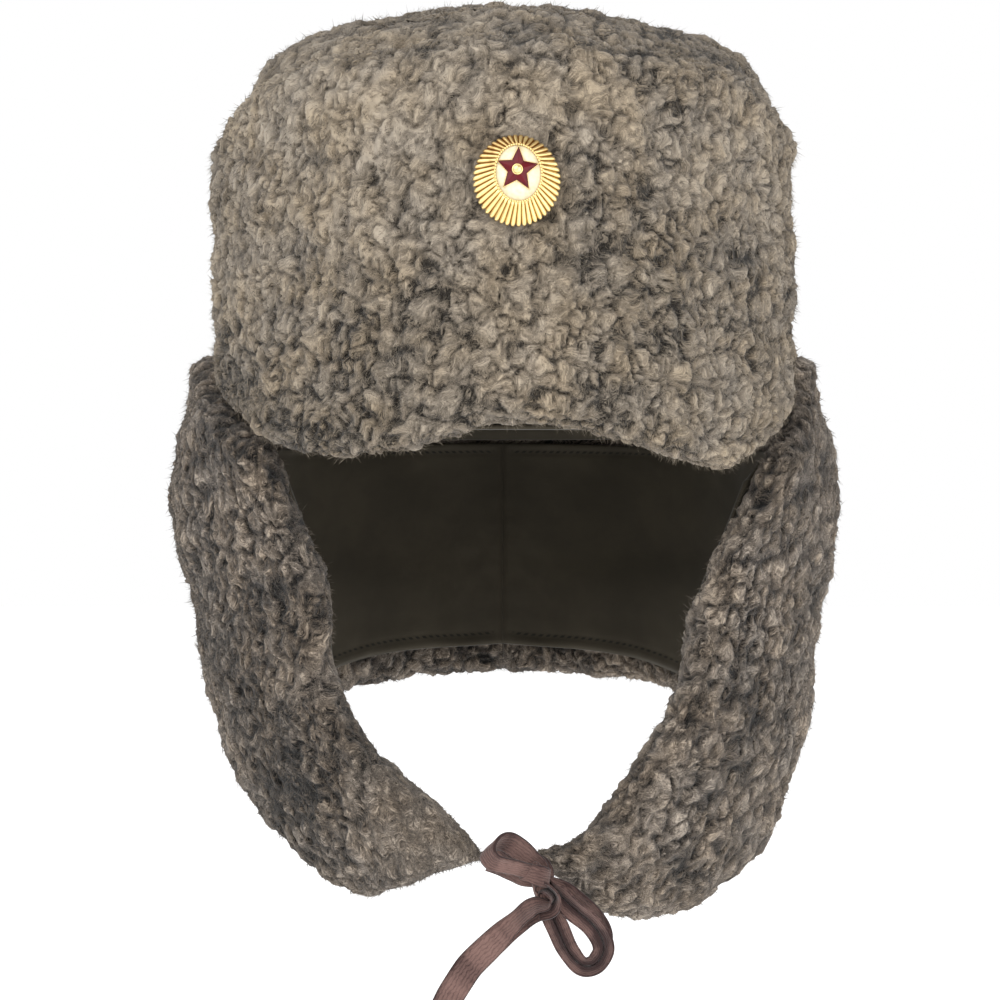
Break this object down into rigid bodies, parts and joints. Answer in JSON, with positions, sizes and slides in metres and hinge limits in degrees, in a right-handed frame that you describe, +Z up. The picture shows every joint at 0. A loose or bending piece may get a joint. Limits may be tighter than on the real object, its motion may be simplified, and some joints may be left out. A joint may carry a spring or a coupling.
{
  "type": "fur earflap cap",
  "caption": "Fur cap with a folded front flap and lowered ear flaps tied under the chin with cotton tapes in a bow.",
  "frame": {"origin": "centre of the head opening, in the plane of the crown's lower rim", "axes": "+Z up through the crown, front flap and badge towards -Y, wearer's left towards +X"},
  "size_m": [0.2562, 0.2689, 0.3717],
  "materials": {
    "fur": "short curly taupe-grey sheepskin pile",
    "lining": "smooth olive-brown cloth",
    "badge_metal": "stamped gold-coloured metal",
    "white_enamel": "glossy cream enamel",
    "crimson_enamel": "glossy translucent crimson enamel",
    "tape": "ribbed mauve-brown cotton tape"
  },
  "bodies": {
    "root": {"crown": "fur", "crown_lining": "lining", "front_flap": "fur", "ear_flap_left": "fur", "ear_flap_right": "fur", "flap_lining_left": "lining", "flap_lining_right": "lining", "badge_rays": "badge_metal", "badge_enamel": "white_enamel", "badge_star": "crimson_enamel", "badge_boss": "badge_metal", "tie_tape_left": "tape", "tie_tape_right": "tape", "bow_knot": "tape", "bow_loop_upper": "tape", "bow_loop_lower": "tape", "tape_end_long": "tape", "tape_end_short": "tape"}
  },
  "joints": []
}
